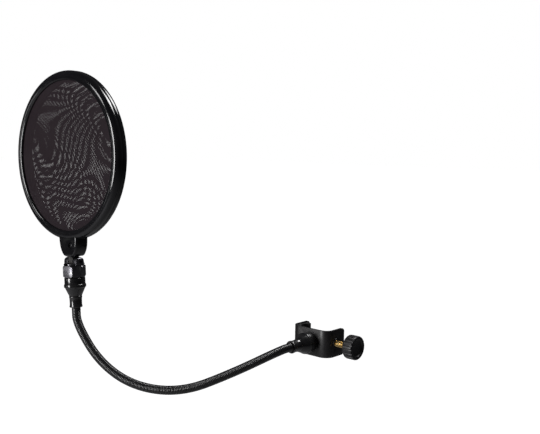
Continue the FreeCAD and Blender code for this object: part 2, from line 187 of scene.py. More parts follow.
def rod(radius, start, end, sides=48):
    """A cylinder between two points, for a hole or a pin."""
    start, end = Vector(start), Vector(end)
    run = end - start
    bpy.ops.object.select_all(action="DESELECT")
    bpy.ops.mesh.primitive_cylinder_add(
        vertices=sides, radius=radius, depth=run.length, location=(start + end) / 2,
        rotation=run.to_track_quat("Z", "Y").to_euler())
    return settle(bpy.context.object)


def block(low, high):
    """A box between two corners, for a slot or as the start of a piece."""
    low, high = Vector(low), Vector(high)
    bpy.ops.object.select_all(action="DESELECT")
    bpy.ops.mesh.primitive_cube_add(size=1, location=(low + high) / 2, scale=high - low)
    return settle(bpy.context.object)


def finish(piece, name, material, body, nodes, edge, angle=35):
    """Break the sharp edges, shade, name and hand over a piece that stands for CAD nodes.
    An edge of 0 leaves the edges alone, and a body of None leaves the piece on no body."""
    piece.name = name
    piece.data.name = name
    if edge:
        broken = piece.modifiers.new("edge_break", "BEVEL")
        broken.width = edge
        broken.segments = 2
        broken.limit_method = "ANGLE"
        broken.angle_limit = math.radians(angle)
        broken.use_clamp_overlap = True
        apply_modifiers(piece)
    only(piece)
    bpy.ops.object.shade_smooth_by_angle(angle=math.radians(angle))
    piece.data.materials.clear()
    piece.data.materials.append(material)
    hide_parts(*nodes)
    if body:
        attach(piece, body)


def group_of(name, sockets_in, sockets_out):
    """An empty shader node group with float inputs and the named outputs."""
    tree = bpy.data.node_groups.new(name, "ShaderNodeTree")
    for label, value in sockets_in.items():
        socket = tree.interface.new_socket(label, in_out="INPUT", socket_type="NodeSocketFloat")
        socket.default_value = value
    for label in sockets_out:
        tree.interface.new_socket(label, in_out="OUTPUT", socket_type="NodeSocketFloat")
    return tree, tree.nodes.new("NodeGroupInput"), tree.nodes.new("NodeGroupOutput")


def noise(tree, coordinates, scale, detail, roughness=0.55):
    """A noise pattern. Its scale is a number or another node's output."""
    node = tree.nodes.new("ShaderNodeTexNoise")
    node.inputs["Detail"].default_value = detail
    node.inputs["Roughness"].default_value = roughness
    if isinstance(scale, float):
        node.inputs["Scale"].default_value = scale
    else:
        tree.links.new(scale, node.inputs["Scale"])
    tree.links.new(coordinates, node.inputs["Vector"])
    return node.outputs["Fac"]


def spread(tree, value, low, high, to_low=0.0, to_high=1.0):
    """Stretch the part of a pattern between low and high over a new range."""
    node = tree.nodes.new("ShaderNodeMapRange")
    for label, number in (("From Min", low), ("From Max", high),
                          ("To Min", to_low), ("To Max", to_high)):
        node.inputs[label].default_value = number
    tree.links.new(value, node.inputs["Value"])
    return node.outputs["Result"]


# The shared finish: handling marks that vary gloss and colour in soft patches, fine
# specks of dust, and a grain for the bump. Coat, plastic and plating all use it.
handled, handled_in, handled_out = group_of(
    "handled_surface", {"Patch scale": 60.0, "Grain scale": 2500.0},
    ("Patches", "Specks", "Grain", "Edges"))
handled.interface.new_socket("Grain stretch", in_out="INPUT", socket_type="NodeSocketVector")
place_on_piece = handled.nodes.new("ShaderNodeTexCoord").outputs["Object"]
stretched = handled.nodes.new("ShaderNodeVectorMath")
stretched.operation = "MULTIPLY"
handled.links.new(place_on_piece, stretched.inputs[0])
handled.links.new(handled_in.outputs["Grain stretch"], stretched.inputs[1])
patches = noise(handled, place_on_piece, handled_in.outputs["Patch scale"], 4.0)
handled.links.new(spread(handled, patches, 0.35, 0.65), handled_out.inputs["Patches"])
specks = noise(handled, place_on_piece, 900.0, 2.0)
handled.links.new(spread(handled, specks, 0.66, 0.74), handled_out.inputs["Specks"])
grain = noise(handled, stretched.outputs["Vector"], handled_in.outputs["Grain scale"], 2.0)
handled.links.new(grain, handled_out.inputs["Grain"])
rubbed = handled.nodes.new("ShaderNodeMath")
rubbed.operation = "MULTIPLY"
raised = handled.nodes.new("ShaderNodeNewGeometry").outputs["Pointiness"]
handled.links.new(spread(handled, raised, 0.54, 0.66), rubbed.inputs[0])
broken_up = noise(handled, place_on_piece, 260.0, 4.0, 0.7)
handled.links.new(spread(handled, broken_up, 0.42, 0.62), rubbed.inputs[1])
handled.links.new(rubbed.outputs["Value"], handled_out.inputs["Edges"])


def finish_material(name, colour, dusty, worn, gloss, dull, metallic, patch_scale, grain_scale,
                    grain_height, stretch=(1, 1, 1), coat=0.0, specular=0.5):
    """Colour with faint dust and rubbed edges, roughness from gloss to dull in patches, and a
    fine grain that stretch can draw out into turning or brushing lines."""
    material = bpy.data.materials.new(name)
    material.use_nodes = True
    tree = material.node_tree
    shader = tree.nodes["Principled BSDF"]
    shader.inputs["Metallic"].default_value = metallic
    shader.inputs["Coat Weight"].default_value = coat
    shader.inputs["Coat Roughness"].default_value = 0.06
    shader.inputs["Specular IOR Level"].default_value = specular
    surface = tree.nodes.new("ShaderNodeGroup")
    surface.node_tree = handled
    surface.inputs["Patch scale"].default_value = patch_scale
    surface.inputs["Grain scale"].default_value = grain_scale
    surface.inputs["Grain stretch"].default_value = stretch
    tint = tree.nodes.new("ShaderNodeMix")
    tint.data_type = "RGBA"
    tint.inputs["A"].default_value = (*colour, 1)
    tint.inputs["B"].default_value = (*dusty, 1)
    shade = tree.nodes.new("ShaderNodeMath")
    shade.operation = "MULTIPLY_ADD"
    shade.inputs[1].default_value = 0.35
    tree.links.new(surface.outputs["Patches"], shade.inputs[0])
    tree.links.new(surface.outputs["Specks"], shade.inputs[2])
    tree.links.new(shade.outputs["Value"], tint.inputs["Factor"])
    rub = tree.nodes.new("ShaderNodeMix")
    rub.data_type = "RGBA"
    rub.inputs["B"].default_value = (*worn, 1)
    tree.links.new(surface.outputs["Edges"], rub.inputs["Factor"])
    tree.links.new(tint.outputs["Result"], rub.inputs["A"])
    tree.links.new(rub.outputs["Result"], shader.inputs["Base Color"])
    roughness = spread(tree, surface.outputs["Patches"], 0, 1, gloss, dull)
    tree.links.new(roughness, shader.inputs["Roughness"])
    bump = tree.nodes.new("ShaderNodeBump")
    bump.inputs["Strength"].default_value = 0.6
    bump.inputs["Distance"].default_value = grain_height
    tree.links.new(surface.outputs["Grain"], bump.inputs["Height"])
    tree.links.new(bump.outputs["Normal"], shader.inputs["Normal"])
    return material


coat_black = finish_material(
    "satin_black_coat", (0.006, 0.0055, 0.006), (0.018, 0.0155, 0.0165), (0.05, 0.047, 0.045),
    0.34, 0.5, 0.0, 90, 2200, 0.00006)

near_end = strap_low.y + strap_bend
strap = block((strap_low.x, near_end, strap_low.z),
              (strap_low.x + strap_thickness, strap_high.y, strap_high.z))
only(strap)
bpy.ops.object.mode_set(mode="EDIT")
pick(lambda at: abs(at.y - near_end) < same_place, "faces")
bpy.ops.mesh.delete(type="ONLY_FACE")
pick(lambda at: abs(at.y - near_end) < same_place, "edges")
bpy.ops.mesh.spin(steps=bend_steps, angle=-math.pi / 2, axis=(0, 0, 1),
                  center=(strap_low.x + strap_bend, near_end, 0))
bpy.ops.mesh.extrude_edges_move(
    TRANSFORM_OT_translate={"value": (strap_high.x - strap_low.x - 2 * strap_bend, 0, 0)})
bpy.ops.mesh.spin(steps=bend_steps, angle=-math.pi / 2, axis=(0, 0, 1),
                  center=(strap_high.x - strap_bend, near_end, 0))
bpy.ops.mesh.extrude_edges_move(TRANSFORM_OT_translate={"value": (0, strap_high.y - near_end, 0)})
bpy.ops.mesh.edge_face_add()
bpy.ops.mesh.select_all(action="SELECT")
bpy.ops.mesh.remove_doubles(threshold=1e-6)
bpy.ops.mesh.normals_make_consistent(inside=False)
pick(lambda at: (abs(at.y - strap_high.y) < same_place
                 and abs(abs(at.z) - strap_high.z) < same_place), "edges")
bpy.ops.mesh.bevel(offset=strap_corner, segments=8, affect="EDGES")
bpy.ops.object.mode_set(mode="OBJECT")
carve(strap, rod(bush_hole_radius, (strap_high.x - 0.005, 0, 0), (strap_high.x + 0.002, 0, 0)))
carve(strap, rod(web_hole_radius, (web_x, strap_low.y - 0.002, 0), (web_x, strap_low.y + 0.005, 0)))
finish(strap, "bent_strap", coat_black, "clamp", ["clamp_bracket"], 0.00045)

# ---- Jaw pad -----------------------------------------------------------------------------
# A moulded rubber saddle glued inside the fixed jaw, hollowed to the stand tube's radius
# and ribbed across so that it doesn't slip.
tube_radius = 0.00794
pad_low, pad_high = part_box("jaw_pad")
overcut = 0.001
corner_relief, corner_gap = 0.0006, 0.0018
first_groove, groove_pitch, groove_count = -0.008, 0.004, 5
groove_half_width = groove_depth = 0.0004
rubber = finish_material(
    "black_rubber", (0.010, 0.010, 0.010), (0.035, 0.034, 0.032), (0.02, 0.02, 0.02),
    0.62, 0.8, 0.0, 120, 1600, 0.00009)
pad = block(pad_low, pad_high)
only(pad)
bpy.ops.object.mode_set(mode="EDIT")
pick(lambda at: abs(at.x - pad_high.x) < same_place and abs(at.z) < same_place, "edges")
bpy.ops.mesh.bevel(offset=0.001, segments=3, affect="EDGES")
bpy.ops.object.mode_set(mode="OBJECT")
carve(pad, rod(tube_radius, (0, 0, pad_low.z - overcut), (0, 0, pad_high.z + overcut), 96))
inside_corner = block((strap_low.x + strap_thickness, pad_low.y - overcut, pad_low.z - overcut),
                      (strap_low.x + strap_thickness + corner_relief, near_end - corner_gap,
                       pad_high.z + overcut))
carve(pad, inside_corner)
for groove in range(groove_count):
    groove_z = first_groove + groove_pitch * groove
    carve(pad, rod(tube_radius + groove_depth, (0, 0, groove_z - groove_half_width),
                   (0, 0, groove_z + groove_half_width), 96))
finish(pad, "rubber_saddle", rubber, "clamp", ["jaw_pad"], 0.00015)

# ---- Bush, clamp screw and foot ----------------------------------------------------------
# A blackened threaded bush is riveted into the long leg. The brass screw runs through it
# and ends in a pin, on which the steel foot turns freely with its rubber facing.
along_x = Matrix.Rotation(math.radians(90), 4, "Y")


def drawn_line(points):
    """A mesh line through (x, z) points, drawn by extruding one vertex from point to point."""
    bpy.ops.object.select_all(action="DESELECT")
    bpy.ops.mesh.primitive_plane_add(size=0.001)
    line = bpy.context.object
    bpy.ops.object.mode_set(mode="EDIT")
    bpy.ops.mesh.merge(type="CENTER")
    bpy.ops.transform.translate(value=(points[0][0], 0, points[0][1]))
    for (x, z), (next_x, next_z) in zip(points, points[1:]):
        bpy.ops.mesh.extrude_vertices_move(
            TRANSFORM_OT_translate={"value": (next_x - x, 0, next_z - z)})
    bpy.ops.mesh.select_all(action="SELECT")
    bpy.ops.mesh.remove_doubles(threshold=1e-7)
    return line


def heal():
    """In edit mode, merge what spinning or sweeping has doubled and turn the faces outwards."""
    bpy.ops.mesh.select_all(action="SELECT")
    bpy.ops.mesh.remove_doubles(threshold=1e-6)
    bpy.ops.mesh.normals_make_consistent(inside=False)
    bpy.ops.object.mode_set(mode="OBJECT")


def turned(outline_mm, place=Matrix(), steps=64):
    """Spin a line through (radius, height) points about Z, in millimetres. It starts and ends
    on the axis, or it ends where it started and makes a ring."""
    piece = drawn_line([(radius / 1000, height / 1000) for radius, height in outline_mm])
    bpy.ops.mesh.select_all(action="SELECT")
    bpy.ops.mesh.spin(steps=steps, angle=2 * math.pi, axis=(0, 0, 1), center=(0, 0, 0))
    heal()
    return settle(piece, place)


def coiled(rib_mm, pitch_mm, turns, steps, place=Matrix()):
    """Wind a rib's outline, (radius, height) over one pitch, into a helical rod up Z."""
    piece = drawn_line([(radius / 1000, height / 1000) for radius, height in rib_mm])
    bpy.ops.object.mode_set(mode="OBJECT")
    winding = piece.modifiers.new("winding", "SCREW")
    winding.axis = "Z"
    winding.screw_offset = pitch_mm / 1000
    winding.iterations = turns
    winding.steps = steps
    winding.render_steps = steps
    apply_modifiers(piece)
    only(piece)
    bpy.ops.object.mode_set(mode="EDIT")
    heal()
    return settle(piece, place)


def trimmed(piece, start, end):
    """Cut an upright rod square at two heights and close both ends."""
    only(piece)
    bpy.ops.object.mode_set(mode="EDIT")
    for height, outwards in ((start, -1), (end, 1)):
        bpy.ops.mesh.select_all(action="SELECT")
        bpy.ops.mesh.bisect(plane_co=(0, 0, height), plane_no=(0, 0, outwards), use_fill=True,
                            clear_outer=True)
    heal()


brass = finish_material(
    "yellow_brass", (0.92, 0.68, 0.30), (0.62, 0.42, 0.17), (0.95, 0.76, 0.42),
    0.22, 0.38, 1.0, 150, 1500, 0.00002, (1, 0.06, 0.06))
steel_black = finish_material(
    "blackened_steel", (0.03, 0.03, 0.033), (0.06, 0.058, 0.056), (0.16, 0.16, 0.165),
    0.26, 0.42, 1.0, 200, 1800, 0.00002)

leg_inner, leg_outer = 31.0, 33.5
bush = turned([(3.05, leg_inner - 2.2), (5.2, leg_inner - 2.2), (5.6, leg_inner - 1.8),
               (5.6, leg_inner), (4.58, leg_inner), (4.58, leg_outer), (5.0, leg_outer + 0.05),
               (5.35, leg_outer + 0.5), (5.1, leg_outer + 0.95), (3.4, leg_outer + 1.0),
               (3.05, leg_outer + 0.6), (3.05, leg_inner - 2.2)], along_x)
finish(bush, "threaded_bush", steel_black, "clamp", ["screw_bush"], 0.0001)

screw_tip, screw_end, screw_pitch, screw_turns = 11.4, 55.0, 1.0, 42
first_thread, thread_cut = 0.0145, 0.016
thread = coiled([(2.6, 0), (2.6, 0.12), (2.98, 0.42), (2.98, 0.58), (2.6, 0.88), (2.6, screw_pitch)],
                screw_pitch, screw_turns, 28, Matrix.Translation((0, 0, first_thread)))
trimmed(thread, thread_cut, screw_end / 1000)
settle(thread, along_x)
tip = turned([(0, screw_tip), (1.8, screw_tip), (2.2, screw_tip + 0.4), (2.2, 16.2), (0, 16.2)],
             along_x)
carve(thread, tip, "UNION")
finish(thread, "screw_thread", brass, "screw", ["clamp_screw"], 0, 50)

foot = turned([(0, 11.3), (0, 9.2), (7.1, 9.2), (7.5, 9.6), (7.5, 10.9), (7.1, 11.4), (6.3, 11.45),
               (6.0, 11.7), (5.2, 15.0), (4.7, 15.4), (2.5, 15.4), (2.32, 15.2), (2.32, 11.3),
               (0, 11.3)], along_x)
finish(foot, "swivel_foot", steel_black, "foot", ["pressure_foot"], 0)
facing = turned([(0, 8.0), (6.9, 8.0), (7.4, 8.3), (7.45, 9.2), (0, 9.2)], along_x)
finish(facing, "foot_facing", rubber, "foot", ["foot_pad"], 0)

# ---- Knob --------------------------------------------------------------------------------
# Black phenolic, moulded over the end of the screw, with a fluted rim, a dished face and a
# short boss. Fingers have dulled the rim.
knob_black = finish_material(
    "moulded_knob", (0.006, 0.0055, 0.0065), (0.02, 0.0185, 0.019), (0.03, 0.029, 0.029),
    0.36, 0.55, 0.0, 130, 1300, 0.00008)
knob = turned([(0, 45.5), (5.4, 45.5), (6.0, 46.1), (6.0, 47.8), (6.4, 48.4), (7.2, 48.5),
               (10.2, 48.5), (10.9, 48.75), (11.3, 49.3), (11.4, 50.0), (11.4, 57.6), (11.3, 58.2),
               (10.9, 58.75), (10.2, 59.0), (8.7, 59.0), (8.25, 58.8), (7.95, 58.4), (7.65, 57.8),
               (7.0, 57.6), (0, 57.6)], along_x, 108)
knob_bore_radius = 0.00302
carve(knob, rod(knob_bore_radius, (0.044, 0, 0), (0.055, 0, 0)))
flute_count = 18
flute_radius, flute_place = 0.0011, 0.0117
flute_start, flute_end = Vector((0.047, 0, 0)), Vector((0.061, 0, 0))
for flute in range(flute_count):
    angle = 2 * math.pi * flute / flute_count
    side = Vector((0, math.cos(angle), math.sin(angle))) * flute_place
    carve(knob, rod(flute_radius, side + flute_start, side + flute_end, 16))
finish(knob, "fluted_knob", knob_black, "screw", ["knob"], 0.00025, 32)

# ---- Base fitting, its sleeve, and the screw that holds it -------------------------------
# Turned and blackened brass: a plain shank, a rounded ring and a cone, and a sleeve crimped on
# the hose. An M5 screw through the web pulls the fitting against the bracket.
ring_width, cone_length = 3.3, 8.1
shank_length, sleeve_length = 6.9, 10.6


def turned_black(name, stretch):
    """The fittings' glossy black, with turning lines drawn out by stretch."""
    return finish_material(
        name, (0.010, 0.010, 0.011), (0.026, 0.0245, 0.024), (0.10, 0.092, 0.082),
        0.18, 0.32, 0.3, 140, 1400, 0.00002, stretch, coat=0.7)


base_black = turned_black("turned_black_base", (0.06, 1, 0.06))
web_place = Matrix.Translation((web_x, strap_low.y, 0)) @ Matrix.Rotation(math.radians(-90), 4, "X")


def ring_and_cone(top):
    """The outline below height top: a rounded ring, a neck, a cone and its square end."""
    low = top - ring_width
    end = low - cone_length
    return [(9.75, top), (10.05, top - 0.35), (10.2, top - 1.1), (10.2, low + 1.1),
            (10.05, low + 0.35), (9.7, low), (9.3, low - 0.25), (9.2, low - 0.5),
            (5.95, end + 0.3), (5.6, end), (4.25, end), (4.25, end + 6.5), (0, end + 6.5)]


def crimped(top):
    """The sleeve's closed section: a lead-in, a plain drawn wall and a flared mouth."""
    low = top - sleeve_length
    return [(4.25, top), (5.75, top), (6.05, top - 0.4), (6.05, top - 1.2), (5.85, top - 1.6),
            (5.7, top - 4.0), (5.65, low + 2.6), (5.75, low + 1.8), (6.0, low + 1.2),
            (6.05, low + 0.7), (5.8, low), (4.25, low), (4.25, top)]


base = turned([(2.52, 0), (9.3, 0), (9.6, -0.3), (9.6, -shank_length + 0.5),
               (9.35, -shank_length + 0.3), (9.35, -shank_length)]
              + ring_and_cone(-shank_length) + [(0, -8.4), (2.52, -8.4), (2.52, 0)], web_place, 80)
finish(base, "base_turning", base_black, "clamp", ["base_fitting"], 0.0001)
cone_end = -shank_length - ring_width - cone_length
finish(turned(crimped(cone_end), web_place, 64), "base_crimp", base_black, "clamp",
       ["base_sleeve"], 0.0001)

web_inner = strap_low.y + strap_thickness
washer_radius, washer_hole_radius, washer_thickness = 0.0049, 0.00265, 0.0006
washer_top = web_inner + washer_thickness
washer = rod(washer_radius, (web_x, web_inner, 0), (web_x, washer_top, 0))
carve(washer, rod(washer_hole_radius, (web_x, web_inner - overcut, 0),
                  (web_x, washer_top + overcut, 0)))
finish(washer, "flat_washer", steel_black, "clamp", ["web_washer"], 0.0001)
screw_head = turned([(0, -6.9), (2.5, -6.9), (2.5, 3.1), (4.2, 3.1), (4.4, 3.3), (4.4, 4.3),
                     (4.1, 4.85), (3.3, 5.3), (2.0, 5.5), (0, 5.5)], web_place)


def cross_recess(piece, centre, half_length, half_width, front, bottom):
    """Sink a cross for a screwdriver between two y places."""
    for half_x, half_z in ((half_length, half_width), (half_width, half_length)):
        carve(piece, block((centre[0] - half_x, min(front, bottom), centre[1] - half_z),
                           (centre[0] + half_x, max(front, bottom), centre[1] + half_z)))


head_top, recess_depth = strap_low.y + 0.0055, 0.0012
cross_recess(screw_head, (web_x, 0), 0.0022, 0.00045, head_top + overcut, head_top - recess_depth)
finish(screw_head, "fitting_screw", steel_black, "clamp", ["web_screw"], 0.00008)

# ---- Gooseneck ---------------------------------------------------------------------------
# A semi-rigid arm: black steel wire wound over a spring, so that it has a fine helical rib from end to
# end. It is pushed into both fittings, and is built in lengths that meet midway between its flex
# points.
head_centre = Vector((-0.1545, -0.171, 0.1742))
head_turned = Matrix.Rotation(math.radians(1.5), 4, "Z") @ Matrix.Rotation(math.radians(-4), 4, "Y")
head_place = Matrix.Translation(head_centre) @ head_turned
hose_route = [
    Vector((web_x, -0.0243, 0)), Vector((web_x, -0.0424, 0)), Vector((web_x, -0.0554, 0)),
    Vector((-0.009, -0.098, -0.0175)), Vector((-0.040, -0.1305, -0.035)),
    Vector((-0.0815, -0.1515, -0.0345)), Vector((-0.120, -0.1625, -0.017)),
    head_place @ Vector((0, 0, -0.158)), head_place @ Vector((0, 0, -0.142)),
    head_place @ Vector((0, 0, -0.1239))]
bpy.ops.object.select_all(action="DESELECT")
route_data = bpy.data.curves.new("hose_route", "CURVE")
route_data.dimensions = "3D"
spline = route_data.splines.new("NURBS")
spline.points.add(len(hose_route) - 1)
for point, at in zip(spline.points, hose_route):
    point.co = (*at, 1)
spline.order_u = 3
spline.use_endpoint_u = True
spline.resolution_u = 32
route_curve = bpy.data.objects.new("hose_route", route_data)
bpy.context.scene.collection.objects.link(route_curve)
bpy.context.view_layer.update()
route_line = bpy.data.meshes.new_from_object(route_curve)
line_points = [vert.co.copy() for vert in route_line.vertices]
bpy.data.meshes.remove(route_line)
line_lengths = [0.0]
for before, after in zip(line_points, line_points[1:]):
    line_lengths.append(line_lengths[-1] + (after - before).length)

rib_pitch = 1.45
rib = [(3.74, 0), (3.98, 0.13), (4.11, 0.38), (4.15, 0.725), (4.11, 1.07), (3.98, 1.32),
       (3.74, rib_pitch)]
hose_black = finish_material(
    "wound_hose", (0.010, 0.010, 0.011), (0.026, 0.025, 0.026), (0.05, 0.048, 0.048),
    0.24, 0.36, 0.2, 110, 1500, 0.000008, coat=0.45)
flex_names = ["flex_1_lift", "flex_2_sweep", "flex_3_lift", "flex_4_sweep", "flex_5_lift"]
pivots = [Vector(joints[name]["pos_m"]) for name in flex_names]


def length_at(place):
    """How far along the hose its line passes a place."""
    nearest = min(range(len(line_points)), key=lambda index: (line_points[index] - place).length)
    return line_lengths[nearest]


midways = [length_at((pivot + after) / 2) for pivot, after in zip(pivots, pivots[1:])]
cuts = [0.0] + midways + [line_lengths[-1]]
rib_steps = 20
for index, pivot in enumerate(pivots):
    first, last = cuts[index], cuts[index + 1]
    first_turn = math.floor(first * 1000 / rib_pitch) - 1
    turns = math.ceil(last * 1000 / rib_pitch) + 1 - first_turn
    hose = coiled(rib, rib_pitch, turns, rib_steps,
                  Matrix.Translation((0, 0, first_turn * rib_pitch / 1000)))
    trimmed(hose, first, last)
    bent = hose.modifiers.new("along_route", "CURVE")
    bent.object = route_curve
    bent.deform_axis = "POS_Z"
    apply_modifiers(hose)
    replaced = ["gooseneck_%d" % (index + 1)] + (["gooseneck_6"] if index == 4 else [])
    finish(hose, "hose_%d" % (index + 1), hose_black, None, replaced, 0, 60)
    at = line_lengths.index(length_at(pivot))
    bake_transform(hose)
bpy.data.objects.remove(route_curve)

# ---- Head fitting, sleeve and swivel body ------------------------------------------------
# The same turned ring, cone and crimped sleeve as at the base. The swivel body is screwed into
# the ring, and its saw-cut spigot stands inside the lock nut.
head_black = turned_black("turned_black_head", (0.06, 0.06, 1))
ring_top = -120.0
finish(turned([(0, ring_top)] + ring_and_cone(ring_top), head_place, 80), "head_turning", head_black,
       "collar", ["head_fitting"], 0.0001)
finish(turned(crimped(ring_top - ring_width - cone_length), head_place, 64), "head_crimp", head_black,
       "collar", ["head_sleeve"], 0.0001)
swivel = turned([(0, -119.95), (9.4, -119.95), (9.6, -119.7), (9.6, -114.2), (9.3, -113.8),
                 (7.0, -113.8), (7.0, -105.2), (6.7, -104.9), (4.1, -104.9), (4.1, -116.2),
                 (0, -116.2)], steps=80)
saw_cut_reach, saw_cut_half_width = 0.008, 0.0005
for half_x, half_y in ((saw_cut_reach, saw_cut_half_width), (saw_cut_half_width, saw_cut_reach)):
    carve(swivel, block((-half_x, -half_y, -0.1109), (half_x, half_y, -0.104)))
settle(swivel, head_place)
finish(swivel, "swivel_barrel", head_black, "collar", ["swivel_body"], 0.0001)

# ---- Lock nut ----------------------------------------------------------------------------
# A 19 mm hex nut, turned and milled from steel and plated in dark chrome. It squeezes the split
# spigot on the fork's stem.
dark_chrome = finish_material(
    "dark_chrome", (0.15, 0.147, 0.162), (0.10, 0.097, 0.104), (0.34, 0.34, 0.35),
    0.24, 0.34, 1.0, 110, 1700, 0.000006)
nut_top, nut_bottom = -102.3, -113.5
nut_flats, nut_turn = 19, 12
nut_bore_radius, nut_thread_radius = 0.00635, 0.0071
corner = nut_flats / math.sqrt(3)
nut = turned([(0, nut_bottom), (9.2, nut_bottom), (9.8, nut_bottom + 0.35),
              (corner + 0.1, nut_bottom + 1.4), (corner + 0.1, nut_top - 1.4),
              (9.8, nut_top - 0.35), (9.2, nut_top), (0, nut_top)], steps=96)
bpy.ops.object.select_all(action="DESELECT")
bpy.ops.mesh.primitive_cylinder_add(
    vertices=6, radius=corner / 1000, depth=0.02, location=(0, 0, -0.108),
    rotation=(0, 0, math.radians(nut_turn + 90)))
carve(nut, settle(bpy.context.object), "INTERSECT")
carve(nut, rod(nut_bore_radius, (0, 0, -0.115), (0, 0, -0.101), 64))
carve(nut, rod(nut_thread_radius, (0, 0, -0.115), (0, 0, -0.1046), 64))
settle(nut, head_place)
finish(nut, "hex_lock_nut", dark_chrome, "nut", ["lock_nut"], 0.0003, 20)

# ---- Fork, pin and clip ------------------------------------------------------------------
# A round-shouldered fork, cast and plated like the nut, whose stem turns in the barrel and is
# kept there by a spring clip. A steel pin through both ears carries the hoop's tongue.
pin_z = -0.099
pin_hole_radius = 0.00155
ear_radius, ear_foot, ear_top = 10.3, -102.0, -94.4
shoulder_radius, shoulder_centre = 3.0, (7.3, -97.4)
ear_half_width = 0.0044
fork_slot = (-0.0033, -0.012, -0.1030), (0.0033, 0.012, -0.09)
shoulder = [(shoulder_centre[0] + shoulder_radius * math.cos(math.radians(rise)),
             shoulder_centre[1] + shoulder_radius * math.sin(math.radians(rise)))
            for rise in range(0, 91, 10)]
ears = turned([(0, ear_foot), (ear_radius, ear_foot)] + shoulder + [(0, ear_top)], steps=80)
ear_shape = rod(ear_half_width, (-0.011, 0, pin_z), (0.011, 0, pin_z), 64)
carve(ear_shape, block((-0.011, -ear_half_width, -0.103), (0.011, ear_half_width, pin_z)), "UNION")
carve(ears, ear_shape, "INTERSECT")
carve(ears, block(*fork_slot))
carve(ears, rod(pin_hole_radius, (-0.012, 0, pin_z), (0.012, 0, pin_z), 32))
only(ears)
bpy.ops.object.mode_set(mode="EDIT")
heal()
softened = ears.modifiers.new("softened", "BEVEL")
softened.width = 0.0006
softened.segments = 3
softened.limit_method = "ANGLE"
softened.angle_limit = math.radians(40)
apply_modifiers(ears)
stem = turned([(0, -115.5), (3.7, -115.5), (4.0, -115.2), (4.0, -113.7), (3.4, -113.7),
               (3.4, -112.7), (4.0, -112.7), (4.0, -104.5), (6.0, -104.5), (6.0, -102.0),
               (9.2, -102.0), (9.55, -101.7), (9.6, -101.3), (9.5, -100.9), (9.2, -100.65),
               (8.7, -100.6), (0, -100.6)], steps=80)
carve(stem, block(*fork_slot))
carve(stem, ears, "UNION")
settle(stem, head_place)
finish(stem, "eared_fork", dark_chrome, "fork", ["swivel_fork"], 0, 40)
pin = turned([(0, -9.7), (0.9, -9.65), (1.35, -9.4), (1.5, -9.0), (1.5, 9.0), (1.35, 9.4),
              (0.9, 9.65), (0, 9.7)],
             head_place @ Matrix.Translation((0, 0, pin_z)) @ along_x, 32)
finish(pin, "hinge_pin", steel_black, "fork", ["pivot_pin"], 0)
clip = turned([(3.45, -113.65), (5.9, -113.65), (5.9, -112.75), (3.45, -112.75), (3.45, -113.65)],
              steps=48)
carve(clip, block((0, -0.0016, -0.1147), (0.008, 0.0016, -0.1117)))
settle(clip, head_place)
finish(clip, "spring_clip", steel_black, "fork", ["stem_clip"], 0.0001)

# ---- Hoop --------------------------------------------------------------------------------
# Two gloss black mouldings, front and rear, meet on a fine line round the rim and clamp the
# screens. Each carries half of the lug, and one screw through the lug draws them together.
hoop_gloss = finish_material(
    "gloss_black_plastic", (0.004, 0.004, 0.005), (0.012, 0.0105, 0.012), (0.02, 0.02, 0.02),
    0.10, 0.17, 0.0, 55, 420, 0.000004)


def swept(start, through, end, steps=6):
    """Points on a smooth curve from start, through a middle point, to end."""
    points = []
    for step in range(1, steps + 1):
        t = step / steps
        weights = ((1 - t) * (1 - 2 * t), 4 * t * (1 - t), t * (2 * t - 1))
        knots = list(zip(weights, (start, through, end)))
        points.append(tuple(sum(weight * knot[axis] for weight, knot in knots) for axis in (0, 1)))
    return points


half_section = ([(69.7, 4.5), (69.7, 5.3)] + swept((69.7, 5.3), (70.65, 6.4), (72.7, 6.95))
                + swept((72.7, 6.95), (73.3, 7.0), (73.9, 6.95), 3)
                + swept((73.9, 6.95), (77.15, 5.45), (78.5, 2.4), 8)
                + [(78.5, 0.3), (78.38, 0.1), (78.15, 0.02), (76.35, 0.02), (76.35, 4.5), (69.7, 4.5)])
lug_side = ([(14.3, -74.0), (13.8, -79.0)] + swept((13.8, -79.0), (12.7, -85.5), (10.4, -90.2))
            + swept((10.4, -90.2), (7.9, -93.1), (4.6, -94.0)))
lug_half_depth = 0.0065
lug_root = -0.0755
front_round, rear_round = 0.0025, 0.0008
hoop_bore_radius = 0.0768
lug_outline = lug_side + [(-x, z) for x, z in reversed(lug_side)]


def hoop_half(facing):
    """One moulding, drawn upright about the hoop's centre: facing is 1 for the front."""
    ring = turned(half_section, Matrix.Rotation(math.radians(90 * facing), 4, "X"), 200)
    lug = drawn_line([(x / 1000, z / 1000) for x, z in lug_outline])
    bpy.ops.mesh.select_all(action="SELECT")
    bpy.ops.mesh.edge_face_add()
    bpy.ops.mesh.extrude_region_move(
        TRANSFORM_OT_translate={"value": (0, -lug_half_depth * facing, 0)})
    heal()
    only(lug)
    bpy.ops.object.mode_set(mode="EDIT")
    bpy.ops.mesh.select_mode(type="EDGE")
    pick(lambda at: abs(at.y + lug_half_depth * facing) < same_place and at.z < lug_root, "edges")
    rounding = front_round if facing == 1 else rear_round
    bpy.ops.mesh.bevel(offset=rounding, segments=8, affect="EDGES")
    bpy.ops.mesh.select_mode(type="VERT")
    bpy.ops.object.mode_set(mode="OBJECT")
    carve(lug, rod(hoop_bore_radius, (0, -0.02, 0), (0, 0.02, 0), 200))
    carve(ring, lug, "UNION")
    # The pocket for the tongue, and the way out for its neck.
    carve(ring, block((-0.0081, -0.00155, -0.0919), (0.0081, 0.00155, -0.0804)))
    carve(ring, block((-0.0031, -0.0051, -0.0950), (0.0031, 0.0051, -0.0899)))
    return ring


